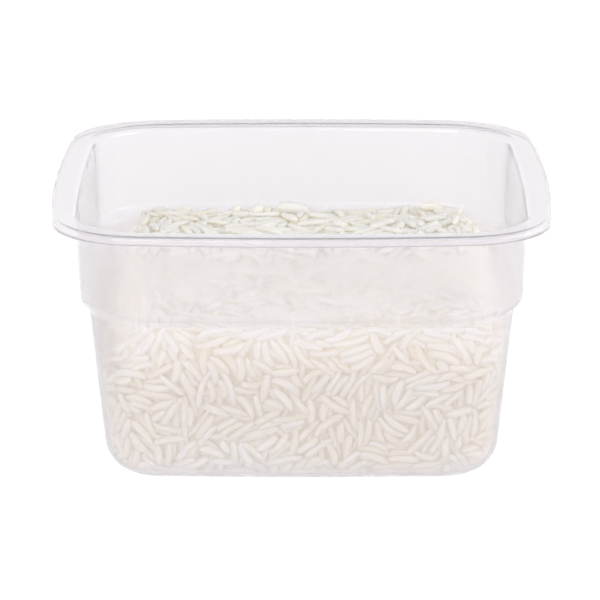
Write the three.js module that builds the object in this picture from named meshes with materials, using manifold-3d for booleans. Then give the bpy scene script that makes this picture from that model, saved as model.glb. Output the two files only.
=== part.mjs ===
// Takeaway meal container: a clear, square, thermoformed tub with rounded corners, filled with
// cooked long-grain rice up to the step in its wall.
//
// Millimetres, +Z up. The origin is the middle of the base, on the surface that the tub stands on.
//
// The tub is one thin sheet of even thickness. From the middle outwards it is a flat base, a large
// rounding, a tapered lower wall, a sloped step that widens the tub, a nearly upright band, and a
// broad flange that curls over into a short lip. Every level of it is the same kind of outline: a
// square with rounded corners and slightly bowed sides.
//
// The rice is one heap that fills the tub to the step. Its surface is rough at the size of the
// grains, and the larger grains stand out of it whole.

import * as THREE from "three";
import { mergeVertices } from "three/addons/utils/BufferGeometryUtils.js";
import Module from "manifold-3d";

// ---- Driving dimensions ----

// Tub
const RIM_HALF = 70; // half the width over the flange
const HEIGHT = 74.4;
const SHEET = 0.6; // thickness of the plastic

const FOOT_HALF = 55.7; // half the width where the wall meets the rounding of the base
const FOOT_ROUNDING = 9.3; // in the upright section, between base and wall
const STEP_Z = 47.4; // lower edge of the step
const STEP_RISE = 3; // a slope that rounds up into the band
const STEP_OUT = 2.5;
const UNDER_STEP_HALF = 59.5; // half the width just under the step
const BAND_TOP_HALF = 62.8; // half the width of the band, under the flange
const SHOULDER_ROUNDING = 1.8; // from the band into the flange
const CROWN_RISE = 0.15; // how far the flange rises from its shoulder to its crown
const CURL_ROUNDING = 1.3; // from the flange into the lip
const LIP_DROP = 2.4; // crown of the flange to the cut edge of the lip

// Corner radii of the outline seen from above, and how far the sides bow out
const FOOT_CORNER = 16;
const UNDER_STEP_CORNER = 19.5;
const BAND_CORNER = 21.5;
const RIM_CORNER = 24;
const BODY_BOW = 1.0;
const RIM_BOW = 2.0;

// Rice
const GRAIN_LENGTH = 7.6;
const GRAIN_WIDTH = 2.2;
const FILL_Z = 47; // level of the rice at the front wall
const BACK_RISE = 2.5; // how much higher it lies at the back wall
const DOME = 1.8; // how much higher the middle of the heap is
// On the left and on the right the heap falls away before it meets the wall.
const LEFT_FALL = { from: 40, backFrom: 48, width: 16, drop: 15 };
const RIGHT_FALL = { from: 44, backFrom: 46, width: 15, drop: 7 };
const CLEARANCE = 0.35; // between the tub and the rice
const PROUD = 1.1; // how far a grain stands out of the heap's own surface
const BUMP = 1.0; // height of the bumps of the heap's own surface
const TOP_GRAINS = 96;
const SIDE_GRAINS = 72;

// Fineness
const TUB_STEPS = { side: 4, corner: 6 };
const HEAP_CELLS = { across: 20, up: 8 };

// ---- Outlines ----

// A level of the tub or of the heap: half its width, its corner radius, its bow and its height.
const level = (half, corner, bow, z) => ({ half, corner, bow, z });

const between = (a, b, t) => level(
  THREE.MathUtils.lerp(a.half, b.half, t),
  THREE.MathUtils.lerp(a.corner, b.corner, t),
  THREE.MathUtils.lerp(a.bow, b.bow, t),
  THREE.MathUtils.lerp(a.z, b.z, t),
);

// A quarter of the outline is half a side, a corner and half the next side, all tangent arcs.
function quarterOutline({ half, corner, bow }, steps) {
  const reach = half - corner;
  const sideRadius = (reach * reach + bow * bow) / (2 * bow);
  const turn = Math.asin(reach / sideRadius);
  const sideEnd = new THREE.Vector2(half - sideRadius + sideRadius * Math.cos(turn), reach);
  const cornerRadius = (sideEnd.x - sideEnd.y) / (Math.cos(turn) - Math.sin(turn));
  const cornerCentre = sideEnd.x - cornerRadius * Math.cos(turn);

  const points = [];
  const halfSide = steps.side / 2;
  for (let i = 0; i < halfSide; i++) {
    const angle = (turn * i) / halfSide;
    points.push(new THREE.Vector2(
      half - sideRadius + sideRadius * Math.cos(angle),
      sideRadius * Math.sin(angle),
    ));
  }
  for (let i = 0; i <= steps.corner; i++) {
    const angle = THREE.MathUtils.lerp(turn, Math.PI / 2 - turn, i / steps.corner);
    points.push(new THREE.Vector2(
      cornerCentre + cornerRadius * Math.cos(angle),
      cornerCentre + cornerRadius * Math.sin(angle),
    ));
  }
  const nextSide = points.slice(1, halfSide).reverse();
  return [...points, ...nextSide.map((p) => new THREE.Vector2(p.y, p.x))];
}

// The whole outline at its height, counter-clockwise from above.
function ringOf(at, steps) {
  const quarter = quarterOutline(at, steps);
  const origin = new THREE.Vector2();
  return [0, 1, 2, 3].flatMap((turn) => quarter.map((p) => {
    const q = p.clone().rotateAround(origin, (turn * Math.PI) / 2);
    return new THREE.Vector3(q.x, q.y, at.z);
  }));
}

// A closed solid through the rings, with a flat cap on the first ring and on the last.
function loft(rings) {
  const around = rings[0].length;
  const index = [];
  for (let k = 0; k + 1 < rings.length; k++) {
    for (let i = 0; i < around; i++) {
      const next = (i + 1) % around;
      const [a, b] = [k * around + i, k * around + next];
      const [c, d] = [b + around, a + around];
      index.push(a, b, c, a, c, d);
    }
  }
  const capOf = (ring) => {
    const flat = ring.map((p) => new THREE.Vector2(p.x, p.y));
    return THREE.ShapeUtils.triangulateShape(flat, []);
  };
  const last = (rings.length - 1) * around;
  capOf(rings[0]).forEach(([a, b, c]) => index.push(a, c, b));
  capOf(rings.at(-1)).forEach(([a, b, c]) => index.push(last + a, last + b, last + c));
  return new THREE.BufferGeometry().setFromPoints(rings.flat()).setIndex(index);
}

// ---- Tub ----

// Points on an arc of the upright section, as [half width, height] pairs.
function arc(centre, radius, from, to, steps) {
  return Array.from({ length: steps + 1 }, (_, i) => {
    const angle = THREE.MathUtils.lerp(from, to, i / steps);
    return [centre[0] + radius * Math.cos(angle), centre[1] + radius * Math.sin(angle)];
  });
}

// The underside of the sheet from the edge of the flat base to the cut edge of the lip.
function undersideLevels() {
  const upright = Math.PI / 2;
  const taper = Math.atan((UNDER_STEP_HALF - FOOT_HALF) / (STEP_Z - FOOT_ROUNDING));
  const footCentre = [FOOT_HALF - FOOT_ROUNDING * Math.cos(taper), FOOT_ROUNDING];
  const foot = arc(footCentre, FOOT_ROUNDING, -upright, -taper, 5);

  const underFlange = HEIGHT - CROWN_RISE - SHEET;
  const shoulderCentre = [BAND_TOP_HALF + SHOULDER_ROUNDING, underFlange - SHOULDER_ROUNDING];
  const shoulder = arc(shoulderCentre, SHOULDER_ROUNDING, Math.PI, upright, 3);

  const curlRadius = CURL_ROUNDING - SHEET;
  const curlCentre = [RIM_HALF - CURL_ROUNDING, HEIGHT - CURL_ROUNDING];
  const curl = arc(curlCentre, curlRadius, upright, 0, 3);
  const lipEnd = [RIM_HALF - SHEET, HEIGHT - LIP_DROP];

  const footLevels = foot.map(([half, z], i) => {
    const corner = FOOT_CORNER - (FOOT_HALF - half);
    return level(half, corner, BODY_BOW, z);
  });
  const bandHalf = UNDER_STEP_HALF + STEP_OUT;
  const stepLevels = [
    level(UNDER_STEP_HALF, UNDER_STEP_CORNER, BODY_BOW, STEP_Z),
    level(bandHalf - 0.7, BAND_CORNER - 0.7, BODY_BOW, STEP_Z + 0.4 * STEP_RISE),
    level(bandHalf, BAND_CORNER, BODY_BOW, STEP_Z + STEP_RISE),
  ];
  // The outline grows from the band's to the rim's across the flange.
  const flangeLevels = [...shoulder, ...curl, lipEnd].map(([half, z]) => {
    const t = (half - BAND_TOP_HALF) / (RIM_HALF - BAND_TOP_HALF);
    return level(
      half,
      THREE.MathUtils.lerp(BAND_CORNER, RIM_CORNER, t),
      THREE.MathUtils.lerp(BODY_BOW, RIM_BOW, t),
      z,
    );
  });
  return [...footLevels, ...stepLevels, ...flangeLevels];
}

// The same levels moved to the sheet's other side, square to the section at each one.
function offsetLevels(levels, distance) {
  const at = levels.map((l) => new THREE.Vector2(l.half, l.z));
  return levels.map((l, i) => {
    const before = i > 0 ? at[i].clone().sub(at[i - 1]).normalize() : new THREE.Vector2(1, 0);
    const after = i + 1 < at.length ? at[i + 1].clone().sub(at[i]).normalize() : before;
    const along = before.clone().add(after).normalize();
    const stretch = 1 / Math.max(0.5, along.dot(after));
    const inward = new THREE.Vector2(-along.y, along.x).multiplyScalar(distance * stretch);
    return level(l.half + inward.x, l.corner + inward.x, l.bow, l.z + inward.y);
  });
}

const underside = undersideLevels();
const inside = offsetLevels(underside, SHEET);

function makeTub() {
  const levels = [...underside, ...inside.toReversed()];
  return loft(levels.map((at) => ringOf(at, TUB_STEPS)));
}

// ---- Rice ----

// A repeatable source of numbers from 0 to 1.
function seededRandom(seed) {
  let state = seed;
  return () => {
    state = (state + 0x6d2b79f5) | 0;
    let t = Math.imul(state ^ (state >>> 15), 1 | state);
    t = (t + Math.imul(t ^ (t >>> 7), 61 | t)) ^ t;
    return ((t ^ (t >>> 14)) >>> 0) / 4294967296;
  };
}
const random = seededRandom(20);
const spread = (amount) => (2 * random() - 1) * amount;

// The levels of the tub's inner face from its base to the band, lowest first.
const rising = inside.filter((l) => l.z < HEIGHT - CURL_ROUNDING && l.half < BAND_TOP_HALF);

// The tub's inner face at a height, drawn in by a distance.
function wallAt(z, drawnIn) {
  const next = rising.findIndex((l) => l.z >= z);
  const above = rising.at(next < 0 ? -1 : next);
  const below = rising[Math.max(0, next - 1)];
  const rise = above.z - below.z;
  const at = between(below, above, rise > 0 ? THREE.MathUtils.clamp((z - below.z) / rise, 0, 1) : 0);
  return level(at.half - drawnIn, at.corner - drawnIn, at.bow, z);
}

// How far it is from the axis to an outline, in a direction given as an angle.
function reachOf(at, direction) {
  const ring = ringOf(at, TUB_STEPS);
  const turnOf = (angle) => THREE.MathUtils.euclideanModulo(angle, 2 * Math.PI);
  const after = ring.findIndex((q) => turnOf(Math.atan2(q.y, q.x)) > turnOf(direction));
  const to = ring[Math.max(0, after)];
  const from = ring.at(after < 0 ? -1 : after - 1);
  const chord = to.clone().sub(from);
  return (from.x * chord.y - from.y * chord.x)
    / (Math.cos(direction) * chord.y - Math.sin(direction) * chord.x);
}

// The drop on one side of the heap, at a distance from the middle towards that side.
function fall({ from, backFrom, width, drop }, distance, backwards) {
  const start = THREE.MathUtils.lerp(from, backFrom, backwards);
  return drop * THREE.MathUtils.smoothstep(distance, start, start + width);
}

// The height of the heap's top, over the tips of its grains.
function heapTop(x, y) {
  const across = Math.max(Math.abs(x), Math.abs(y)) / UNDER_STEP_HALF;
  const backwards = (y / UNDER_STEP_HALF + 1) / 2;
  const dome = DOME * (1 - across * across);
  const waves = 0.7 * Math.sin(x / 11 + 0.8) * Math.cos(y / 13) + 0.4 * Math.sin((x + y) / 7);
  return FILL_Z + BACK_RISE * backwards + dome + waves
    - fall(LEFT_FALL, -x, backwards) - fall(RIGHT_FALL, x, backwards);
}

// The heap's own surface, under the grains: a block of even cells, drawn out to the tub's inner
// face and up to the heap's top, with a bump or a dent at every corner of its cells.
function heapCore() {
  const { across, up } = HEAP_CELLS;
  const block = new THREE.BoxGeometry(2, 2, 2, across, across, up);
  block.deleteAttribute("normal");
  block.deleteAttribute("uv");
  const core = mergeVertices(block);

  const drawnIn = CLEARANCE + PROUD;
  const floorZ = SHEET + CLEARANCE;
  const corners = core.attributes.position;
  const p = new THREE.Vector3();
  for (let i = 0; i < corners.count; i++) {
    p.fromBufferAttribute(corners, i);
    const out = Math.max(Math.abs(p.x), Math.abs(p.y));
    const direction = Math.atan2(p.y, p.x);
    const brim = reachOf(wallAt(FILL_Z, drawnIn), direction) * out;
    const topZ = heapTop(brim * Math.cos(direction), brim * Math.sin(direction)) - PROUD;
    const share = (p.z + 1) / 2;
    const bump = share === 0 ? BUMP * random() : spread(BUMP);
    const z = THREE.MathUtils.lerp(floorZ, topZ, share) + bump;
    const reach = reachOf(wallAt(z, drawnIn), direction) * out - BUMP * random() * out;
    corners.setXYZ(i, reach * Math.cos(direction), reach * Math.sin(direction), z);
  }
  return core;
}

// A grain along X, of four long faces between blunt, tapered ends.
function grainGeometry(length, width) {
  const profile = [[0, -0.5], [0.55, -0.26], [0.5, 0.3], [0, 0.5]];
  const points = profile.map(([r, along]) => new THREE.Vector2(r * width, along * length));
  return new THREE.LatheGeometry(points, 4, Math.PI / 4).rotateZ(-Math.PI / 2);
}

// Where the grains lie: a place on the heap, the way out of the heap there, and the lean from it.

// Over the top, on a spiral that spreads them evenly.
function topPlaces() {
  const goldenAngle = Math.PI * (3 - Math.sqrt(5));
  const brim = wallAt(FILL_Z, CLEARANCE + GRAIN_LENGTH / 2);
  const step = 1;
  return Array.from({ length: TOP_GRAINS }, (_, i) => {
    const direction = i * goldenAngle;
    const out = reachOf(brim, direction) * Math.sqrt((i + 0.5) / TOP_GRAINS);
    const [x, y] = [out * Math.cos(direction), out * Math.sin(direction)];
    const z = heapTop(x, y);
    const up = new THREE.Vector3(z - heapTop(x + step, y), z - heapTop(x, y + step), step).normalize();
    return { at: new THREE.Vector3(x, y, z - 0.4 * GRAIN_WIDTH), up, lean: 0.35 };
  });
}

// Up the wall, on two steps that spread points evenly over a rectangle.
function sidePlaces() {
  const evenSteps = [0.7548776662, 0.5698402910];
  const lowest = 6;
  return Array.from({ length: SIDE_GRAINS }, (_, i) => {
    const [round, share] = evenSteps.map((step) => ((i + 1) * step) % 1);
    const ringAt = (z) => ringOf(wallAt(z, CLEARANCE + 0.55 * GRAIN_WIDTH), { side: 40, corner: 20 });
    const k = Math.floor(round * ringAt(lowest).length);
    const brim = ringAt(FILL_Z)[k];
    const z = THREE.MathUtils.lerp(lowest, heapTop(brim.x, brim.y) - 1.5 * GRAIN_WIDTH, share);
    const ring = ringAt(z);
    const along = ring[(k + 1) % ring.length].clone().sub(ring.at(k - 1)).normalize();
    const rise = ringAt(z + 1)[k].sub(ring[k]).normalize();
    return { at: ring[k], up: along.cross(rise).normalize(), lean: 0.06 };
  });
}

// A grain where it lies, drawn in towards the axis as far as the tub's wall asks for.
function placedGrain({ at, up, lean }) {
  const length = GRAIN_LENGTH * (1 + spread(0.14));
  const width = GRAIN_WIDTH * (1 + spread(0.1));
  const outwards = new THREE.Quaternion().setFromUnitVectors(new THREE.Vector3(0, 0, 1), up);
  const heading = new THREE.Quaternion().setFromAxisAngle(new THREE.Vector3(0, 0, 1), spread(Math.PI));
  const leaning = new THREE.Quaternion().setFromAxisAngle(new THREE.Vector3(0, 1, 0), spread(lean));
  const turn = outwards.multiply(heading).multiply(leaning);
  const grain = grainGeometry(length, width).applyQuaternion(turn).translate(at.x, at.y, at.z);

  const corners = grain.attributes.position;
  const p = new THREE.Vector3();
  let room = Infinity;
  for (let i = 0; i < corners.count; i++) {
    p.fromBufferAttribute(corners, i);
    const reach = reachOf(wallAt(p.z, CLEARANCE), Math.atan2(p.y, p.x));
    room = Math.min(room, reach - Math.hypot(p.x, p.y));
  }
  const inwards = Math.min(0, room) * 1.05 / Math.hypot(at.x, at.y);
  return grain.translate(at.x * inwards, at.y * inwards, 0);
}

// ---- Solids ----

const wasm = await Module();
wasm.setup();

function solidFrom(geometry) {
  const bare = geometry.clone().deleteAttribute("normal").deleteAttribute("uv");
  const merged = mergeVertices(bare, 1e-4);
  return new wasm.Manifold(new wasm.Mesh({
    numProp: 3,
    vertProperties: merged.attributes.position.array,
    triVerts: new Uint32Array(merged.index.array),
  }));
}

function geometryFrom(solid) {
  const mesh = solid.getMesh();
  return new THREE.BufferGeometry()
    .setAttribute("position", new THREE.BufferAttribute(mesh.vertProperties, 3))
    .setIndex(new THREE.BufferAttribute(mesh.triVerts, 1));
}

// The heap with its grains, less hollows that the grains seal and scraps that hang on nothing.
function makeRice() {
  let heap = solidFrom(heapCore());
  for (const place of [...topPlaces(), ...sidePlaces()]) {
    heap = heap.add(solidFrom(placedGrain(place)));
  }
  const bodies = heap.decompose();
  bodies.sort((a, b) => b.volume() - a.volume());
  return geometryFrom(bodies[0]);
}

// ---- Object ----

const clearPlastic = new THREE.MeshStandardMaterial({
  color: 0xf3f2f5,
  roughness: 0.08,
  metalness: 0,
  transparent: true,
  opacity: 0.3,
});
const cookedRice = new THREE.MeshStandardMaterial({ color: 0xf1ebe0, roughness: 0.55, metalness: 0 });

function named(name, geometry, material) {
  const mesh = new THREE.Mesh(geometry, material);
  mesh.name = name;
  return mesh;
}

const container = new THREE.Group();
container.add(named("tub", makeTub(), clearPlastic));
container.add(named("rice", makeRice(), cookedRice));

export default container;
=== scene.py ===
"""A clear square takeaway tub, part filled with cooked long-grain rice.

The tub is one thin clear sheet. It is drawn as rounded squares with bowed sides, carried up a
profile. The rice is several thousand separate grains. They are let fall one by one on the inside
of the base, on the inside of the wall and on the heap's own core, so each lies on those under it.
"""

import math

import bpy
import numpy as np
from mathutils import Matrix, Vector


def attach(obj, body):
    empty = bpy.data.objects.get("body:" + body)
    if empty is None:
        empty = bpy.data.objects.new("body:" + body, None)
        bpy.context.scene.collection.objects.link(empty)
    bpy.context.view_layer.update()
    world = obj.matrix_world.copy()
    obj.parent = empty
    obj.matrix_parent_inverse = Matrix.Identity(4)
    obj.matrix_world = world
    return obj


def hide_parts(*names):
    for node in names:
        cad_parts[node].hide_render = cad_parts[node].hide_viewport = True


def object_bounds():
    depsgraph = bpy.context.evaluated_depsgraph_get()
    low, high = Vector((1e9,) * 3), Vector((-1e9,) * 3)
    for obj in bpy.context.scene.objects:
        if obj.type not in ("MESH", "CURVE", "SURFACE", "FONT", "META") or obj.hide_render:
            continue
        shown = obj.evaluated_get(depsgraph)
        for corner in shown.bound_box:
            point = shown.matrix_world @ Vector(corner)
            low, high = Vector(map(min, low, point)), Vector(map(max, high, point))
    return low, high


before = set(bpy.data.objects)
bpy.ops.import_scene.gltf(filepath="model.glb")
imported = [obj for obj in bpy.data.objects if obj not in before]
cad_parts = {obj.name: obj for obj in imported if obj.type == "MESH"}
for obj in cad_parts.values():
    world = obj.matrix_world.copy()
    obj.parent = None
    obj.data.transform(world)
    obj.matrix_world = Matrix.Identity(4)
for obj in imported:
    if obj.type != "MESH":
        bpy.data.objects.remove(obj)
CAD_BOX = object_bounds()

bl_info = {
    "name": "Takeaway Tub with Rice",
    "version": (1, 0, 0),
    "blender": (4, 5, 0),
    "location": "View3D > Sidebar > Takeaway Tub",
    "description": "Builds a clear stepped food tub with curled flange, filled with cooked rice",
    "category": "Add Mesh",
}

MM = 0.001
RIM_HALF = CAD_BOX[1].x
HEIGHT = CAD_BOX[1].z

# The photograph's frame: 600 x 600 pixels, with the tub's middle 1.5 pixels right of the centre.
IMAGE_PIXELS = 600
MIDDLE_SHIFT_PIXELS = 1.5
FOCAL_PIXELS = 3627
CAMERA_DISTANCE = 1.0016
CAMERA_HEIGHT = 0.3275
CAMERA_PITCH = math.radians(16.16)

FLOOR_HALF = 6.0
FLOOR_Z = -0.1 * MM  # just under the base, so that the two faces don't lie in one plane
AIM_HEIGHT = 0.04  # height on the tub's axis that the lamps are turned to


# Settings


class TubSettings(bpy.types.PropertyGroup):
    """Sizes of the tub, in metres. Half widths are from the axis to the middle of a side."""

    sheet: bpy.props.FloatProperty(
        name="Sheet", description="Thickness of the plastic", default=0.6 * MM, unit="LENGTH"
    )
    foot_half: bpy.props.FloatProperty(
        name="Foot Half Width",
        description="Where the wall meets the rounding of the base",
        default=55.7 * MM,
        unit="LENGTH",
    )
    foot_rounding: bpy.props.FloatProperty(
        name="Foot Rounding",
        description="Radius between the base and the wall, in the upright section",
        default=9.3 * MM,
        unit="LENGTH",
    )
    step_z: bpy.props.FloatProperty(
        name="Step Height", description="Lower edge of the step", default=47.4 * MM, unit="LENGTH"
    )
    step_rise: bpy.props.FloatProperty(
        name="Step Rise", description="Height of the step itself", default=3 * MM, unit="LENGTH"
    )
    under_step_half: bpy.props.FloatProperty(
        name="Half Width Under Step",
        description="Half the width of the tub just under the step",
        default=59.5 * MM,
        unit="LENGTH",
    )
    band_half: bpy.props.FloatProperty(
        name="Band Half Width",
        description="Half the width of the tub just over the step",
        default=62.0 * MM,
        unit="LENGTH",
    )
    band_top_half: bpy.props.FloatProperty(
        name="Band Top Half Width",
        description="Half the width of the tub under the flange",
        default=62.8 * MM,
        unit="LENGTH",
    )
    shoulder_rounding: bpy.props.FloatProperty(
        name="Shoulder Rounding",
        description="Radius from the band into the flange",
        default=1.8 * MM,
        unit="LENGTH",
    )
    crown_rise: bpy.props.FloatProperty(
        name="Crown Rise",
        description="How far the flange rises from its shoulder to its crown",
        default=0.15 * MM,
        unit="LENGTH",
    )
    curl_rounding: bpy.props.FloatProperty(
        name="Curl Rounding",
        description="Radius from the flange into the lip",
        default=1.3 * MM,
        unit="LENGTH",
    )
    lip_drop: bpy.props.FloatProperty(
        name="Lip Drop",
        description="From the crown of the flange to the cut edge of the lip",
        default=2.4 * MM,
        unit="LENGTH",
    )


class RiceSettings(bpy.types.PropertyGroup):
    """Sizes and numbers of the rice."""

    grain_length: bpy.props.FloatProperty(
        name="Grain Length", description="Length of a cooked grain", default=8.2 * MM, unit="LENGTH"
    )
    grain_width: bpy.props.FloatProperty(
        name="Grain Width", description="Width of a cooked grain", default=2.2 * MM, unit="LENGTH"
    )
    fill_z: bpy.props.FloatProperty(
        name="Fill Height",
        description="Level of the rice at the front wall",
        default=47 * MM,
        unit="LENGTH",
    )
    seed: bpy.props.IntProperty(name="Seed", description="Number the lie of the grains", default=7)
    top_tries: bpy.props.IntProperty(
        name="Top Tries", description="Grains dropped on the heap's top", default=3600
    )
    wall_tries: bpy.props.IntProperty(
        name="Wall Tries", description="Grains tried against the wall", default=12000
    )
    base_tries: bpy.props.IntProperty(
        name="Base Tries", description="Grains tried on the base", default=2400
    )


def colour_property(name, description, default):
    """A colour that the panel shows."""
    return bpy.props.FloatVectorProperty(
        name=name, description=description, default=default, subtype="COLOR", size=3, min=0, max=1
    )


class LookSettings(bpy.types.PropertyGroup):
    """Colours of the plastic, the rice and the floor."""

    plastic: colour_property(
        "Plastic", "Tint of the clear sheet, seen square on", (0.88, 0.862, 0.88)
    )
    # Painted light: the sheet is tinted paler where it is seen along its face, for the white
    # surroundings that it reflects there.
    plastic_painted_edge: colour_property(
        "Plastic Edge", "Tint of the clear sheet, seen along its face", (0.94, 0.92, 0.94)
    )
    grain: colour_property("Grain", "Colour of most grains", (0.985, 0.955, 0.885))
    # Warm Grain is also painted shade: it is mixed in more on grains lying deeper against the wall,
    # on the base and on the hidden core.
    grain_warm_and_shade: colour_property(
        "Warm Grain", "Colour of the more translucent grains", (0.95, 0.74, 0.46)
    )
    floor: colour_property("Floor", "Colour of the floor", (1.0, 0.99, 1.0))


# Outlines and profiles

SIDE_BOW = 1 * MM  # how far the sides of the body bow out
RIM_BOW = 2 * MM
STEP_LEAD = 1.1 * MM  # how far under the step's height its ramp starts
STEP_EASE = 1.2 * MM  # how much the ramp is longer than the step's rise, for its gentle ends


def outline_point(t, half, corner, bow):
    """Point of a rounded square at t, from 0 to 1 once round, counter-clockwise from +X.

    A quarter of the square is half a side, a corner and half of the next side. The side is an arc
    of large radius R = (L^2 + bow^2) / (2 bow) with L = half - corner, and the corner is an arc
    with its centre on the diagonal, tangent to the side. The second half of each quarter is the
    first one mirrored in the diagonal. All four inputs may be arrays.
    """
    t = np.asarray(t, float) % 1.0
    quarter = np.floor(4 * t)
    u = 4 * t - quarter
    mirrored = u > 0.5
    u = np.where(mirrored, 1 - u, u)

    straight = half - corner
    radius = (straight**2 + bow**2) / (2 * bow)
    turn = np.arcsin(np.clip(straight / radius, 0, 0.7))
    end_x = half - radius * (1 - np.cos(turn))
    end_y = radius * np.sin(turn)
    corner_radius = (end_x - end_y) / (np.cos(turn) - np.sin(turn))
    centre = end_x - corner_radius * np.cos(turn)

    side_share = 0.36
    on_side = u < side_share
    a = turn * u / side_share
    b = turn + (math.pi / 4 - turn) * (u - side_share) / (0.5 - side_share)
    x = np.where(on_side, half - radius * (1 - np.cos(a)), centre + corner_radius * np.cos(b))
    y = np.where(on_side, radius * np.sin(a), centre + corner_radius * np.sin(b))
    x, y = np.where(mirrored, y, x), np.where(mirrored, x, y)

    angle = quarter * math.pi / 2
    return x * np.cos(angle) - y * np.sin(angle), x * np.sin(angle) + y * np.cos(angle)


def smooth(v):
    """The S-shaped ramp 3v^2 - 2v^3 between 0 and 1."""
    v = np.clip(v, 0, 1)
    return v * v * (3 - 2 * v)


def arc(centre, radius, start, stop, steps):
    """Points of an arc as (half width, height) rows, from one angle to another."""
    a = np.linspace(start, stop, steps)
    return np.stack([centre[0] + radius * np.cos(a), centre[1] + radius * np.sin(a)], 1)


def underside(s):
    """The tub's outer face in the upright section, from the flat of the base to the lip's edge.

    Rows are half width and height: the foot's arc, the straight lower wall, the step, which goes
    out as the S-shaped ramp 3v^2 - 2v^3, the straight band, the shoulder's arc, the flange, the
    curl's arc and the lip.
    """
    quarter = math.pi / 2
    taper = math.atan((s.under_step_half - s.foot_half) / (s.step_z - s.foot_rounding))
    foot_x = s.foot_half - s.foot_rounding * math.cos(taper)
    foot = arc((foot_x, s.foot_rounding), s.foot_rounding, -quarter, -taper, 18)

    v = np.linspace(0, 1, 22)
    out = s.under_step_half + (s.band_half - s.under_step_half) * smooth(v)
    step = np.stack([out, s.step_z - STEP_LEAD + (s.step_rise + STEP_EASE) * v], 1)

    under_flange = HEIGHT - s.crown_rise - s.sheet
    shoulder_centre = (s.band_top_half + s.shoulder_rounding, under_flange - s.shoulder_rounding)
    shoulder = arc(shoulder_centre, s.shoulder_rounding, math.pi, quarter, 10)
    curl_centre = (RIM_HALF - s.curl_rounding, HEIGHT - s.curl_rounding)
    curl = arc(curl_centre, s.curl_rounding - s.sheet, quarter, 0, 12)
    lip = [[RIM_HALF - s.sheet, HEIGHT - s.lip_drop]]

    wall = np.linspace(foot[-1], step[0], 14)[1:-1]
    band = np.linspace(step[-1], shoulder[0], 8)[1:-1]
    return np.concatenate([foot, wall, step, band, shoulder, curl, lip])


def corner_radius(half, s):
    """Corner radius of the outline by half width: small at the foot, larger up to the rim."""
    halves = [s.foot_half - s.foot_rounding, s.foot_half, s.under_step_half, s.band_half]
    radii = [7 * MM, 16 * MM, 19.5 * MM, 21.5 * MM]
    return np.interp(half, [*halves, RIM_HALF], [*radii, 24 * MM])


def bow_of(half, s):
    """How far the sides bow out, by half width: more at the rim than on the body."""
    return np.interp(half, [s.band_top_half, RIM_HALF], [SIDE_BOW, RIM_BOW])


def inwards(profile):
    """Unit vectors across the sheet, from the outer face to the inner one, along a profile."""
    along = np.gradient(profile, axis=0)
    along /= np.linalg.norm(along, axis=1, keepdims=True)
    return np.stack([-along[:, 1], along[:, 0]], 1)


# Meshes


def build_object(name, points, quads, tris=(), tone=None):
    """A smooth-shaded mesh object from arrays of points, four-sided and three-sided faces."""
    quads = np.asarray(quads, np.int32).reshape(-1, 4)
    tris = np.asarray(tris, np.int32).reshape(-1, 3)
    mesh = bpy.data.meshes.new(name)
    mesh.vertices.add(len(points))
    mesh.vertices.foreach_set("co", np.asarray(points, np.float32).ravel())
    corners = np.concatenate([quads.ravel(), tris.ravel()])
    starts = np.concatenate([
        np.arange(len(quads)) * 4,
        len(quads) * 4 + np.arange(len(tris)) * 3,
    ])
    mesh.loops.add(len(corners))
    mesh.loops.foreach_set("vertex_index", corners)
    mesh.polygons.add(len(starts))
    mesh.polygons.foreach_set("loop_start", starts.astype(np.int32))
    mesh.polygons.foreach_set("use_smooth", np.ones(len(starts), bool))
    if tone is not None:
        attribute = mesh.attributes.new("tone", "FLOAT", "POINT")
        attribute.data.foreach_set("value", np.asarray(tone, np.float32))
    mesh.update(calc_edges=True)
    mesh.validate()
    piece = bpy.data.objects.new(name, mesh)
    bpy.context.scene.collection.objects.link(piece)
    return piece


def ring_faces(rings, around):
    """Quads between successive closed rings of points."""
    k, i = np.meshgrid(np.arange(rings - 1), np.arange(around), indexing="ij")
    here = k * around + i
    beside = k * around + (i + 1) % around
    return np.stack([here, beside, beside + around, here + around], -1).reshape(-1, 4)


def fan_faces(first, around, centre, facing_up):
    """Triangles from a closed ring of points to one point in its middle."""
    i = np.arange(around)
    here, beside = first + i, first + (i + 1) % around
    hub = np.full(around, centre)
    return np.stack([here, beside, hub] if facing_up else [beside, here, hub], -1)


# The tub


def tub_mesh(s):
    """The tub as one closed skin: up its outer face, round the lip's edge, down its inner face.

    A point is outline_point(t, half, corner, bow) at its height, for each row of the profile and
    its mirror across the sheet. Rings that shrink to a point in the middle close both faces.
    """
    around = 288
    outer = underside(s)
    inner = outer + inwards(outer) * s.sheet
    flat = np.array([0.05, 0.3, 0.6, 0.85])[:, None]
    floor_out = np.concatenate([outer[0, 0] * flat, np.zeros_like(flat)], 1)
    floor_in = np.concatenate([inner[0, 0] * flat, np.full_like(flat, inner[0, 1])], 1)
    profile = np.concatenate([floor_out, outer, inner[::-1], floor_in[::-1]])

    half = profile[:, :1]
    spread = np.minimum(half / outer[0, 0], 1)
    corner = corner_radius(half, s) * spread
    t = np.arange(around) / around
    x, y = outline_point(t[None, :], half, corner, bow_of(half, s) * spread)
    z = np.broadcast_to(profile[:, 1:], x.shape)
    points = np.stack([x, y, z], -1).reshape(-1, 3)
    hubs = [[0, 0, 0], [0, 0, inner[0, 1]]]
    last = (len(profile) - 1) * around
    tris = np.concatenate([
        fan_faces(0, around, len(points), False),
        fan_faces(last, around, len(points) + 1, True),
    ])
    points = np.concatenate([points, hubs])
    return build_object("clear_tub", points, ring_faces(len(profile), around), tris)


# The rice

BACK_RISE = 2.5 * MM  # how much higher the heap's top is at the back than at the front
DOME_RISE = 1.8 * MM
LEFT_FALL = 15 * MM
RIGHT_FALL = 7 * MM

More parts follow.
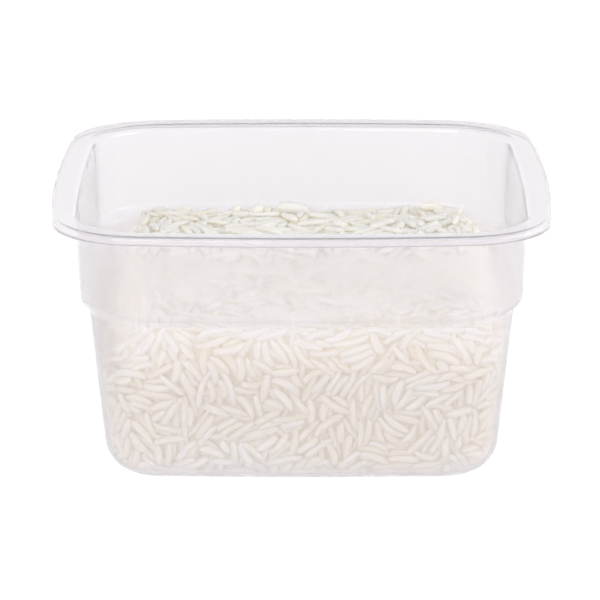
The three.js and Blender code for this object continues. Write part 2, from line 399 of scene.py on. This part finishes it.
CELL = 0.5 * MM
ARM = 7  # places along each half of a grain at which it may touch what is under it
DRAWS = 20  # cells from which a grain takes the lowest
HEADINGS = 12  # headings that a grain tries
STEEPEST = 1.1  # slope of the steepest grain
SOFT = 0.72  # share of its thickness that a grain keeps where it presses on another
OUT_OF_REACH = 1.0  # height, in metres, of ground that no grain may lie on

CORE_DEPTH = 4.4 * MM  # from the outermost grains to the ground of the innermost ones
CORE_PRESS = 1 * MM  # how deep the innermost grains lie in the core
CORE_WALL_DROP = 14 * MM  # how far under the fill height the core's wall ends
BRIM_DEPTH = 2.3 * MM  # thickness of the top's grains where they lie on those against the wall
WALL_GAP = 0.5 * MM
FIRST_UNDER = 2.5 * MM  # how far under the heap's top the first of its grains must stay
LAST_OVER = 0.5 * MM  # how far the last ones stand out of it, on average
MOST_OVER = 0.8 * MM  # and at most

GRAIN_SIDES = 6
GRAIN_RINGS = np.array([-0.48, -0.41, -0.22, 0.02, 0.24, 0.42, 0.48])
GRAIN_TIPS = (-0.5, 0.5)


def heap_top(x, y, fill_z, s):
    """Height of the heap's top.

    It rises a little to the back and to the middle, has slow waves, and falls away as an S-shaped
    ramp near the left wall and, less, near the right one.
    """
    backwards = (y / s.under_step_half + 1) / 2
    across = np.maximum(np.abs(x), np.abs(y)) / s.under_step_half
    dome = DOME_RISE * (1 - across**2)
    waves = 0.7 * np.sin(x / (11 * MM) + 0.8) * np.cos(y / (13 * MM))
    waves = (waves + 0.4 * np.sin((x + y) / (7 * MM))) * MM
    left = LEFT_FALL * smooth((-x - (38 + 10 * backwards) * MM) / (16 * MM))
    right = RIGHT_FALL * smooth((x - (44 + 2 * backwards) * MM) / (15 * MM))
    return fill_z + BACK_RISE * backwards + dome + waves - left - right


def inner_face(s):
    """The tub's inner face below the flange: half width, height, slope vectors and arc length."""
    outer = underside(s)
    across = inwards(outer)
    face = outer + across * s.sheet
    keep = outer[:, 0] < s.band_top_half
    face, across = face[keep], across[keep]
    length = np.concatenate([[0], np.cumsum(np.linalg.norm(np.diff(face, axis=0), axis=1))])
    return face, across, length


def room(x, y, z, s):
    """Distance from a point to the tub's inner face at its height, positive inside the tub.

    It is the distance to a rounded square whose sides draw in by bow (b / L)^2 away from their
    middles, with L half the straight of a side and b the place along it.
    """
    face, _, _ = inner_face(s)
    half = np.interp(z, face[:, 1], face[:, 0])
    corner = corner_radius(half, s)
    a, b = np.abs(x), np.abs(y)
    straight = half - corner
    u = a - (half - SIDE_BOW * np.clip(b / straight, 0, 1) ** 2 - corner)
    v = b - (half - SIDE_BOW * np.clip(a / straight, 0, 1) ** 2 - corner)
    beyond = np.hypot(np.maximum(u, 0), np.maximum(v, 0))
    return corner - beyond - np.minimum(np.maximum(u, v), 0)


def core_mesh(s, r):
    """The heap's hidden core: the inside of the tub drawn in by two layers of grains.

    Rows run from the middle of the base up the wall and over the top to its middle. Each row is
    outline_point(t, half, corner, bow), and the top rows take their height from heap_top.
    """
    around = 120
    drawn_in = CORE_DEPTH - CORE_PRESS
    face, across, _ = inner_face(s)
    wall = face + across * drawn_in
    wall = wall[(wall[:, 1] < r.fill_z - CORE_WALL_DROP) & (wall[:, 0] > 1 * MM)]
    flat = np.array([0.04, 0.35, 0.7])[:, None]
    base = np.concatenate([wall[0, 0] * flat, np.full_like(flat, wall[0, 1])], 1)
    brim_half = np.interp(r.fill_z - drawn_in, face[:, 1], face[:, 0]) - drawn_in
    shares = np.linspace(1, 0.04, 30)[:, None]
    profile = np.concatenate([base, wall, np.concatenate([brim_half * shares, shares * 0], 1)])

    half = profile[:, :1]
    widest = s.foot_half - s.foot_rounding
    spread = np.minimum(half / widest, 1)
    corner = np.maximum(corner_radius(half + drawn_in, s) - drawn_in, 2 * MM) * spread
    t = np.arange(around) / around
    x, y = outline_point(t[None, :], half, corner, SIDE_BOW * spread)
    z = np.repeat(profile[:, 1:], around, 1)
    z[-len(shares):] = heap_top(x, y, r.fill_z, s)[-len(shares):] - drawn_in
    points = np.stack([x, y, z], -1).reshape(-1, 3)
    last = (len(profile) - 1) * around
    hubs = [points[:around].mean(0), points[last:].mean(0)]
    tris = np.concatenate([
        fan_faces(0, around, len(points), False),
        fan_faces(last, around, len(points) + 1, True),
    ])
    points = np.concatenate([points, hubs])
    return build_object("rice_core", points, ring_faces(len(profile), around), tris)


def grain_sizes(count, rng, r):
    """Length, thickness radius and bend of each grain."""
    length = r.grain_length * np.clip(rng.normal(1, 0.2, count), 0.5, 1.5)
    radius = 0.5 * r.grain_width * np.clip(rng.normal(1, 0.1, count), 0.75, 1.25)
    bend = length * rng.uniform(-0.13, 0.13, count)
    return length, radius, bend


def settle(ground, roof, limit, length, radius, squeeze, wraps, rng):
    """Lets grains settle one by one: which stay, and each one's cell, heading, height and slope.

    ground is a height field on square cells, infinite where no grain may lie, and roof the height
    to which it fills. Each grain comes down on the lowest under the roof of a few cells drawn by
    lot, and tries several headings there. Under each of them the field is read along the grain's
    axis and on its flanks, and the grain's round underside, sqrt(radius^2 - flank^2), is added.
    The radius is a little less than the grain's own, because soft grains press into one another.
    The axis comes to rest on a chord through two of these supports, one on each side of its
    middle: the pair whose chord passes highest over the middle. The grain keeps the heading that
    leaves it lowest against the roof, and is taken away again if it reaches over the roof by more
    than its limit. The upper side of one that stays is written into the field. squeeze says how
    much the cells are drawn together along their first axis.
    """
    count, (rows, cols) = len(length), ground.shape
    drawn = rng.choice(np.flatnonzero(np.isfinite(ground)), (count, DRAWS))
    turn = rng.uniform(0, math.pi, count)
    fan = np.arange(HEADINGS) * math.pi / HEADINGS
    stations = np.linspace(-0.46, 0.46, 2 * ARM + 1)
    flanks = np.array([-0.85, -0.45, 0, 0.45, 0.85])
    axis = len(flanks) // 2
    taper = np.sqrt(1 - (np.abs(stations[:, None]) / 0.5) ** 3)
    hollow = np.sqrt(1 - flanks**2)
    every = np.arange(HEADINGS)

    stays = np.zeros(count, bool)
    place = np.zeros((count, 2), int)
    heading, middle, slope = np.zeros((3, count))
    heights, roofs = ground.ravel(), roof.ravel()
    for k in range(count):
        lowest = drawn[k][(roofs[drawn[k]] - heights[drawn[k]]).argmax()]
        ci, cj = divmod(lowest, cols)
        u = length[k] * stations
        side = SOFT * radius[k] * taper * flanks
        hang = SOFT * radius[k] * taper * hollow
        ux, uy = np.cos(turn[k] + fan)[:, None, None], np.sin(turn[k] + fan)[:, None, None]
        i = (ci + (u[:, None] * ux - side * uy) / (CELL * squeeze[ci, cj]) + 0.5).astype(int)
        j = (cj + (u[:, None] * uy + side * ux) / CELL + 0.5).astype(int)
        i = i % rows if wraps else i.clip(0, rows - 1)
        j = j.clip(0, cols - 1)
        below = ground[i, j]
        need = (below + hang).max(2)
        if not np.isfinite(need).all(1).any():
            continue
        need[~np.isfinite(need)] = OUT_OF_REACH

        near, far = need[:, :ARM, None], need[:, None, ARM + 1:]
        rise = (far - near) / (u[None, ARM + 1:] - u[:ARM, None])
        over_middle = (near - u[:ARM, None] * rise).reshape(HEADINGS, -1)
        best = over_middle.argmax(1)
        tilt = rise.reshape(HEADINGS, -1)[every, best].clip(-STEEPEST, STEEPEST)
        height = (need - u * tilt[:, None]).max(1)
        top = height[:, None] + u * tilt[:, None] + radius[k]
        over = (top - roof[i[:, :, axis], j[:, :, axis]]).max(1)
        pick = over.argmin()
        if over[pick] > limit[k]:
            continue
        stays[k] = True
        place[k] = ci, cj
        heading[k], middle[k], slope[k] = turn[k] + fan[pick], height[pick], tilt[pick]
        upper = (height[pick] + u * tilt[pick])[:, None] + hang
        ground[i[pick], j[pick]] = np.maximum(below[pick], upper)
    return stays, place, heading, middle, slope


def grain_points(length, radius, bend, roll):
    """Points of grains along X, as (grains, points, 3).

    A ring at u has radius r (1 - |2u|^4.5)^0.5, a little flat across, and its middle is bent
    sideways by bend (4u^2 - 0.3). The two tips close the ends.
    """
    u = np.concatenate([np.repeat(GRAIN_RINGS, GRAIN_SIDES), GRAIN_TIPS])
    thick = np.sqrt(np.maximum(1 - np.abs(2 * u) ** 4.5, 0))
    angle = np.concatenate([
        np.tile(np.arange(GRAIN_SIDES) * 2 * math.pi / GRAIN_SIDES, len(GRAIN_RINGS)), [0, 0]
    ])
    angle = angle[None, :] + roll[:, None]
    x = length[:, None] * u
    y = radius[:, None] * thick * np.cos(angle) + bend[:, None] * (4 * u**2 - 0.3)
    z = radius[:, None] * thick * np.sin(angle) * 0.92
    return np.stack([x, y, z], -1)


def grain_faces(count):
    """Quads and triangles of a number of grains laid out by grain_points."""
    rings, sides = len(GRAIN_RINGS), GRAIN_SIDES
    quads = ring_faces(rings, sides)
    near, far = rings * sides, rings * sides + 1
    tris = np.concatenate([
        fan_faces(0, sides, near, False),
        fan_faces((rings - 1) * sides, sides, far, True),
    ])
    first = (np.arange(count) * (rings * sides + 2))[:, None, None]
    return (first + quads).reshape(-1, 4), (first + tris).reshape(-1, 3)


def laid_grains(ground, roof, limit, squeeze, wraps, r, rng):
    """Points of settled grains, turned by heading and slope, in cells along the field's two axes.

    The third coordinate is the height.
    """
    count = len(limit)
    length, radius, bend = grain_sizes(count, rng, r)
    roll = rng.uniform(0, math.pi, count)
    stays, place, heading, middle, slope = settle(
        ground, roof, limit, length, radius, squeeze, wraps, rng
    )
    points = grain_points(length, radius, bend, roll)[stays]
    place, heading, middle, slope = place[stays], heading[stays], middle[stays], slope[stays]
    pitch = np.arctan(slope)[:, None]
    c, d = np.cos(pitch), np.sin(pitch)
    px, pz = points[..., 0] * c - points[..., 2] * d, points[..., 0] * d + points[..., 2] * c
    py = points[..., 1]
    c, d = np.cos(heading)[:, None], np.sin(heading)[:, None]
    drawn_in = CELL * squeeze[place[:, 0], place[:, 1]][:, None]
    qx, qy = (px * c - py * d) / drawn_in, (px * d + py * c) / CELL
    return np.stack([qx + place[:, :1], qy + place[:, 1:], pz + middle[:, None]], -1)


def grains_object(name, points, painted_shade, rng):
    """One mesh of grains, each with its own tone: its painted shade, and a random amount up to 1
    more.
    """
    count, each = points.shape[:2]
    quads, tris = grain_faces(count)
    tone = np.repeat(painted_shade + rng.uniform(0, 1, count), each)
    return build_object(name, points.reshape(-1, 3), quads, tris, tone)


def layers(radius, depth):
    """How high grains may reach over their ground: first one layer, then slowly up to a depth."""
    filled = np.linspace(0, 1, len(radius))
    return 2.4 * radius + (depth - 2.4 * radius) * smooth((filled - 0.3) / 0.5)


def top_grains(s, r, rng):
    """Grains over the heap's top: they lie on its core, and near the wall on the wall's grains."""
    reach = s.under_step_half + 1 * MM
    at = np.arange(-reach, reach, CELL)
    x, y = np.meshgrid(at, at, indexing="ij")
    roof = heap_top(x, y, r.fill_z, s)
    beside = room(x, y, roof - BRIM_DEPTH, s)
    ground = roof - np.where(beside < CORE_DEPTH, BRIM_DEPTH, CORE_DEPTH)
    ground[beside < WALL_GAP] = np.inf
    limit = np.minimum(rng.exponential(LAST_OVER, r.top_tries), MOST_OVER)
    limit -= FIRST_UNDER * (1 - smooth(np.linspace(0, 1.6, r.top_tries)))
    points = laid_grains(ground, roof, limit, np.ones_like(roof), False, r, rng)
    points[..., :2] = points[..., :2] * CELL - reach
    inside = (room(points[..., 0], points[..., 1], points[..., 2], s) > 0.1 * MM).all(1)
    return points[inside]


def wall_grains(s, r, rng):
    """Grains against the wall, laid on the unrolled wall and then bent round the tub with it.

    A grain's point (a, h, d) is a mm round the wall, clockwise, h mm up its face from the flat of
    the base and d mm in from it. It goes to outline_point(-a / round, half(h) - d nr, corner -
    d nr, bow) at z(h) + d nz, with (nr, nz) the unit vector across the sheet there.
    """
    face, across, length_up = inner_face(s)
    straight, bend = 39.5 * MM, 19.5 * MM  # half the straight of a side, and the corner's radius
    around = 4 * (2 * straight + math.pi / 2 * bend)
    rows = round(around / CELL)
    highest = np.interp(r.fill_z + 4 * MM, face[:, 1], length_up)
    up = np.arange(0, highest, CELL)

    def bent(t, up, deep):
        half = np.interp(up, length_up, face[:, 0])
        corner = corner_radius(half, s)
        nr = -np.interp(up, length_up, across[:, 0])
        corner = np.maximum(corner - deep * nr, 1 * MM)
        x, y = outline_point(-t, half - deep * nr, corner, SIDE_BOW)
        z = np.interp(up, length_up, face[:, 1]) + deep * np.interp(up, length_up, across[:, 1])
        return x, y, z

    t = (np.arange(rows) / rows)[:, None]
    x, y, z = bent(t, up, 0)
    step_x, step_y = np.roll(x, -1, 0) - x, np.roll(y, -1, 0) - y
    squeeze = np.hypot(step_x, step_y) / CELL
    ground = np.where(z < heap_top(x, y, r.fill_z, s) - 0.5 * BRIM_DEPTH, 0.0, np.inf)
    ground[:, 0] = np.inf
    radius = np.full(r.wall_tries, 0.5 * r.grain_width)
    limit = layers(radius, CORE_DEPTH + 0.6 * MM)
    points = laid_grains(ground, np.zeros_like(ground), limit, squeeze, True, r, rng)
    x, y, z = bent(points[..., 0] / rows, points[..., 1] * CELL, points[..., 2] + WALL_GAP)
    return np.stack([x, y, z], -1), points[..., 2].mean(1)


def wall_painted_shade(depth, below, z):
    """Painted shade of the grains against the wall, as warmth: deeper grains, in the gaps behind
    the first layer, are painted warmer and darker.

    It is 0.75 + depth / 4 mm, and falls off as an S-shaped ramp towards the heap's top, to nothing
    over 15 mm, for the painted light from above under the step, and towards the foot, to half.
    """
    wall_shade = (0.75 + depth / (4 * MM)) * smooth((below + 1 * MM) / (15 * MM))
    return wall_shade * (0.5 + 0.5 * smooth((z - 3 * MM) / (15 * MM)))


def base_grains(s, r, rng):
    """Grains on the flat of the base."""
    reach = s.foot_half - s.foot_rounding + 1 * MM
    at = np.arange(-reach, reach, CELL)
    x, y = np.meshgrid(at, at, indexing="ij")
    ground = np.where(room(x, y, np.full_like(x, s.sheet + 0.2 * MM), s) > 0.5 * MM, 0.0, np.inf)
    radius = np.full(r.base_tries, 0.5 * r.grain_width)
    limit = layers(radius, CORE_DEPTH)
    flat = np.zeros_like(ground)
    points = laid_grains(ground, flat, limit, flat + 1, False, r, rng)
    points[..., :2] = points[..., :2] * CELL - reach
    points[..., 2] += s.sheet + WALL_GAP
    return points


# Materials


def principled(name):
    """A new material and its Principled BSDF."""
    material = bpy.data.materials.new(name)
    material.use_nodes = True
    return material, material.node_tree.nodes["Principled BSDF"]


def add_node(material, kind, **values):
    """A node of the material or world, with its properties or its input sockets set by name."""
    node = material.node_tree.nodes.new(kind)
    for key, value in values.items():
        if hasattr(node, key):
            setattr(node, key, value)
        else:
            node.inputs[key.replace("_", " ")].default_value = value
    return node


def colour_mix(material, factor, first, second):
    """A mix of two colours by a factor socket; first and second are colours."""
    mix = add_node(material, "ShaderNodeMix", data_type="RGBA")
    material.node_tree.links.new(factor, mix.inputs["Factor"])
    mix.inputs["A"].default_value = (*first, 1)
    mix.inputs["B"].default_value = (*second, 1)
    return mix.outputs["Result"]


def plastic_material(look):
    """Clear thermoformed sheet: faint lavender tint, painted paler along the sheet for the white
    surroundings it reflects there, slight ripple.

    It is a little hazy, and clearer on the flange.
    """
    material, shader = principled("clear_sheet")
    links = material.node_tree.links
    shader.inputs["Transmission Weight"].default_value = 0.8
    shader.inputs["Metallic"].default_value = 0.0
    shader.inputs["IOR"].default_value = 1.5

    # Painted light: the tint is paler where the sheet is seen along its face, standing in for the
    # white surroundings that it reflects there.
    facing = add_node(material, "ShaderNodeLayerWeight", Blend=0.5)
    along = add_node(material, "ShaderNodeMath", operation="POWER")
    links.new(facing.outputs["Facing"], along.inputs[0])
    along.inputs[1].default_value = 8.0
    links.new(
        colour_mix(material, along.outputs["Value"], look.plastic, look.plastic_painted_edge),
        shader.inputs["Base Color"],
    )

    place = add_node(material, "ShaderNodeTexCoord").outputs["Object"]
    haze = add_node(material, "ShaderNodeTexNoise", Scale=40.0, Detail=2.0)
    links.new(place, haze.inputs["Vector"])
    rough = add_node(material, "ShaderNodeMapRange", To_Min=0.1, To_Max=0.18)
    links.new(haze.outputs["Fac"], rough.inputs["Value"])
    height = add_node(material, "ShaderNodeSeparateXYZ")
    links.new(place, height.inputs["Vector"])
    under_flange = add_node(
        material,
        "ShaderNodeMapRange",
        From_Min=HEIGHT - 4 * MM,
        From_Max=HEIGHT - 10 * MM,
        To_Min=0.2,
    )
    links.new(height.outputs["Z"], under_flange.inputs["Value"])
    hazy = add_node(material, "ShaderNodeMath", operation="MULTIPLY")
    links.new(rough.outputs["Result"], hazy.inputs[0])
    links.new(under_flange.outputs["Result"], hazy.inputs[1])
    links.new(hazy.outputs["Value"], shader.inputs["Roughness"])

    ripple = add_node(material, "ShaderNodeTexNoise", Scale=70.0, Detail=1.0)
    links.new(place, ripple.inputs["Vector"])
    bump = add_node(material, "ShaderNodeBump", Strength=0.05, Distance=2 * MM)
    links.new(ripple.outputs["Fac"], bump.inputs["Height"])
    links.new(bump.outputs["Normal"], shader.inputs["Normal"])

    # Light from the lamps passes straight through the sheet to the rice.
    clear = add_node(material, "ShaderNodeBsdfTransparent", Color=(0.96, 0.955, 0.965, 1))
    ray = add_node(material, "ShaderNodeLightPath")
    mix = add_node(material, "ShaderNodeMixShader")
    links.new(ray.outputs["Is Shadow Ray"], mix.inputs[0])
    links.new(shader.outputs["BSDF"], mix.inputs[1])
    links.new(clear.outputs["BSDF"], mix.inputs[2])
    surface = material.node_tree.nodes["Material Output"].inputs["Surface"]
    links.new(mix.outputs["Shader"], surface)
    return material


def rice_material(look, name, deep):
    """Cooked rice: white grains, some warmer by their tone and by painted shade, mottled, moist and
    faintly translucent, with a painted glow.
    """
    material, shader = principled(name)
    links = material.node_tree.links
    place = add_node(material, "ShaderNodeTexCoord").outputs["Object"]

    # The hidden core, seen only in the gaps between grains, gets a tone over 1.2: painted shade,
    # warmer and darker than the grains over it.
    if deep:
        grainy = add_node(material, "ShaderNodeTexNoise", Scale=420.0, Detail=2.0)
        links.new(place, grainy.inputs["Vector"])
        tone = add_node(material, "ShaderNodeMath", operation="ADD")
        links.new(grainy.outputs["Fac"], tone.inputs[0])
        tone.inputs[1].default_value = 1.2
        tone = tone.outputs["Value"]
    else:
        tone = add_node(material, "ShaderNodeAttribute", attribute_name="tone").outputs["Fac"]
    patches = add_node(material, "ShaderNodeTexNoise", Scale=45.0, Detail=2.0)
    links.new(place, patches.inputs["Vector"])
    both = add_node(material, "ShaderNodeMath", operation="MULTIPLY_ADD")
    links.new(patches.outputs["Fac"], both.inputs[0])
    both.inputs[1].default_value = 2.6
    links.new(tone, both.inputs[2])
    # The mix leans to the warm colour by random tone and patches, and by the painted shade that the
    # tone carries.
    warmer = add_node(material, "ShaderNodeMapRange", From_Min=1.5, From_Max=3.1)
    links.new(both.outputs["Value"], warmer.inputs["Value"])
    base = colour_mix(material, warmer.outputs["Result"], look.grain, look.grain_warm_and_shade)

    mottle = add_node(material, "ShaderNodeTexNoise", Scale=650.0, Detail=3.0)
    links.new(place, mottle.inputs["Vector"])
    pale = add_node(material, "ShaderNodeMix", data_type="RGBA")
    links.new(mottle.outputs["Fac"], pale.inputs["Factor"])
    links.new(base, pale.inputs["A"])
    pale.inputs["B"].default_value = (0.975, 0.93, 0.83, 1)
    links.new(pale.outputs["Result"], shader.inputs["Base Color"])

    shader.inputs["Roughness"].default_value = 0.42
    shader.inputs["Subsurface Weight"].default_value = 1.0
    shader.inputs["Subsurface Radius"].default_value = (1.0, 0.9, 0.8)
    shader.inputs["Subsurface Scale"].default_value = 4 * MM
    shader.inputs["Specular IOR Level"].default_value = 0.3

    # Painted glow: emission standing in for light that has gone on from grain to grain through the
    # heap, with more of it just under the step, whose slope turns light from above onto the rice,
    # and less on the open top.
    height = add_node(material, "ShaderNodeSeparateXYZ")
    links.new(place, height.inputs["Vector"])
    at_wall = add_node(material, "ShaderNodeMapRange", From_Min=26 * MM, From_Max=43 * MM)
    at_wall.interpolation_type = "SMOOTHSTEP"
    at_wall.inputs["To Min"].default_value = 0.65
    links.new(height.outputs["Z"], at_wall.inputs["Value"])
    share = add_node(material, "ShaderNodeMapRange", From_Min=48.5 * MM, From_Max=44.5 * MM)
    share.interpolation_type = "SMOOTHSTEP"
    share.inputs["To Min"].default_value = 0.46
    links.new(height.outputs["Z"], share.inputs["Value"])
    links.new(at_wall.outputs["Result"], share.inputs["To Max"])
    painted_glow = colour_mix(material, share.outputs["Result"], (0, 0, 0), (0.945, 0.93, 0.875))
    links.new(painted_glow, shader.inputs["Emission Color"])
    shader.inputs["Emission Strength"].default_value = 0.14

    bump = add_node(material, "ShaderNodeBump", Strength=0.15, Distance=0.4 * MM)
    links.new(mottle.outputs["Fac"], bump.inputs["Height"])
    links.new(bump.outputs["Normal"], shader.inputs["Normal"])
    return material


def floor_material(look):
    """Pale floor, bright round the tub, and less so far from it, which darkens the rim's edges."""
    material, shader = principled("pale_floor")
    links = material.node_tree.links
    place = add_node(material, "ShaderNodeTexCoord").outputs["Object"]
    distance = add_node(material, "ShaderNodeVectorMath", operation="LENGTH")
    links.new(place, distance.inputs[0])
    far = add_node(material, "ShaderNodeMapRange", From_Min=0.75, From_Max=2.2)
    far.interpolation_type = "SMOOTHSTEP"
    links.new(distance.outputs["Value"], far.inputs["Value"])
    tint = colour_mix(material, far.outputs["Result"], look.floor, (0.55, 0.55, 0.57))
    # The floor glows as a light table that lights the tub from below; its grey far part is painted
    # dark, which darkens the rim's edges.
    links.new(tint, shader.inputs["Emission Color"])
    shader.inputs["Base Color"].default_value = (0.12, 0.12, 0.12, 1)
    shader.inputs["Emission Strength"].default_value = 0.95
    shader.inputs["Roughness"].default_value = 0.9
    shader.inputs["Specular IOR Level"].default_value = 0.0
    return material


# Operators


def finish_piece(piece, material, node):
    """Dresses a piece, tells the frame what it rides on, and hides the CAD part that it stands for.
    """
    piece.data.materials.append(material)
    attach(piece, "root")
    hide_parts(node)


class TUB_OT_clear_tub(bpy.types.Operator):
    """Build the clear tub with its step and curled flange"""

    bl_idname = "tub.clear_tub"
    bl_label = "Clear Tub"

    def execute(self, context):
        scene = context.scene
        piece = tub_mesh(scene.tub_sizes)
        finish_piece(piece, plastic_material(scene.tub_look), "tub")
        return {"FINISHED"}


class TUB_OT_rice(bpy.types.Operator):
    """Build the heap of rice: its core and the grains on its top, its sides and its base"""

    bl_idname = "tub.rice"
    bl_label = "Cooked Rice"

    def execute(self, context):
        scene = context.scene
        s, r, look = scene.tub_sizes, scene.tub_rice, scene.tub_look
        rng = np.random.default_rng(r.seed)
        finish_piece(core_mesh(s, r), rice_material(look, "rice_core_shade", True), "rice")

        grain = rice_material(look, "rice_grain", False)
        laid = {"top": top_grains(s, r, rng), "base": base_grains(s, r, rng)}
        around, depth = wall_grains(s, r, rng)
        x, y, z = around.mean(1).T
        # Painted shade of the wall's grains, by how deep they lie, how far under the heap's top and
        # how high.
        wall_shade = wall_painted_shade(depth, heap_top(x, y, r.fill_z, s) - z, z)
        one, other = x < y, x < -y
        sides = {"front": ~one & other, "left": one & other, "back": one & ~other}
        sides["right"] = ~one & ~other
        # Painted shade by place: grains on the open top are painted palest, those on the base,
        # under the heap, warmer and darker.
        painted_shade = {"top": 0, "base": 1}
        for place, here in sides.items():
            laid[place] = around[here]
            painted_shade[place] = wall_shade[here]
        for place, points in laid.items():
            piece = grains_object(f"rice_{place}", points, painted_shade[place], rng)
            finish_piece(piece, grain, "rice")
        return {"FINISHED"}


class TUB_OT_stage(bpy.types.Operator):
    """Build the floor, the lights and the camera"""

    bl_idname = "tub.stage"
    bl_label = "Stage"

    def execute(self, context):
        scene = context.scene
        square = [(-1, -1), (1, -1), (1, 1), (-1, 1)]
        corners = [[x * FLOOR_HALF, y * FLOOR_HALF, FLOOR_Z] for x, y in square]
        floor = build_object("pale_floor", corners, [[0, 1, 2, 3]])
        floor.data.materials.append(floor_material(scene.tub_look))

        scene.view_settings.view_transform = "Standard"
        world = bpy.data.worlds.new("studio")
        world.use_nodes = True
        scene.world = world
        background = world.node_tree.nodes["Background"]
        background.inputs["Color"].default_value = (1.0, 0.99, 1.0, 1)
        links = world.node_tree.links
        direction = add_node(world, "ShaderNodeTexCoord")
        height = add_node(world, "ShaderNodeSeparateXYZ")
        links.new(direction.outputs["Generated"], height.inputs["Vector"])
        overhead = add_node(world, "ShaderNodeMapRange", To_Min=1.15, To_Max=0.55)
        links.new(height.outputs["Z"], overhead.inputs["Value"])
        links.new(overhead.outputs["Result"], background.inputs["Strength"])

        # Name, place, size and power; each is turned towards the tub.
        lights = [
            ("front", (-0.6, -1.7, 0.8), 1.2, 7.5),
            ("right", (1.7, -0.5, 0.45), 1.3, 8.0),
        ]
        for name, place, width, power in lights:
            lamp = bpy.data.lights.new(name, "AREA")
            lamp.size = width
            lamp.energy = power
            holder = bpy.data.objects.new(name, lamp)
            scene.collection.objects.link(holder)
            holder.location = place
            aim = -holder.location
            aim.z += AIM_HEIGHT
            holder.rotation_euler = aim.to_track_quat("-Z", "Y").to_euler()

        lens = bpy.data.cameras.new("view")
        lens.sensor_width = 36.0
        lens.lens = FOCAL_PIXELS / IMAGE_PIXELS * lens.sensor_width
        lens.shift_x = -MIDDLE_SHIFT_PIXELS / IMAGE_PIXELS
        camera = bpy.data.objects.new("view", lens)
        scene.collection.objects.link(camera)
        camera.location = (0, -CAMERA_DISTANCE, CAMERA_HEIGHT)
        camera.rotation_euler = (math.pi / 2 - CAMERA_PITCH, 0, 0)
        scene.camera = camera
        return {"FINISHED"}


class TUB_PT_panel(bpy.types.Panel):
    """Buttons that build the tub, its rice and the stage"""

    bl_label = "Takeaway Tub"
    bl_idname = "TUB_PT_panel"
    bl_space_type = "VIEW_3D"
    bl_region_type = "UI"
    bl_category = "Takeaway Tub"

    def draw(self, context):
        for step in STEPS:
            self.layout.operator(step.bl_idname)
        for group in (context.scene.tub_sizes, context.scene.tub_rice, context.scene.tub_look):
            box = self.layout.box()
            for key in group.__annotations__:
                box.prop(group, key)


SETTINGS = {"tub_sizes": TubSettings, "tub_rice": RiceSettings, "tub_look": LookSettings}
STEPS = (TUB_OT_clear_tub, TUB_OT_rice, TUB_OT_stage)


def register():
    """Registers the settings, the operators and the panel."""
    for name, group in SETTINGS.items():
        bpy.utils.register_class(group)
        setattr(bpy.types.Scene, name, bpy.props.PointerProperty(type=group))
    for cls in (*STEPS, TUB_PT_panel):
        bpy.utils.register_class(cls)


def unregister():
    """Removes what register added."""
    for cls in reversed((*STEPS, TUB_PT_panel)):
        bpy.utils.unregister_class(cls)
    for name, group in SETTINGS.items():
        delattr(bpy.types.Scene, name)
        bpy.utils.unregister_class(group)


def main():
    """Builds everything in order."""
    register()
    bpy.ops.tub.clear_tub()
    bpy.ops.tub.rice()
    bpy.ops.tub.stage()


if __name__ == "__main__":
    main()
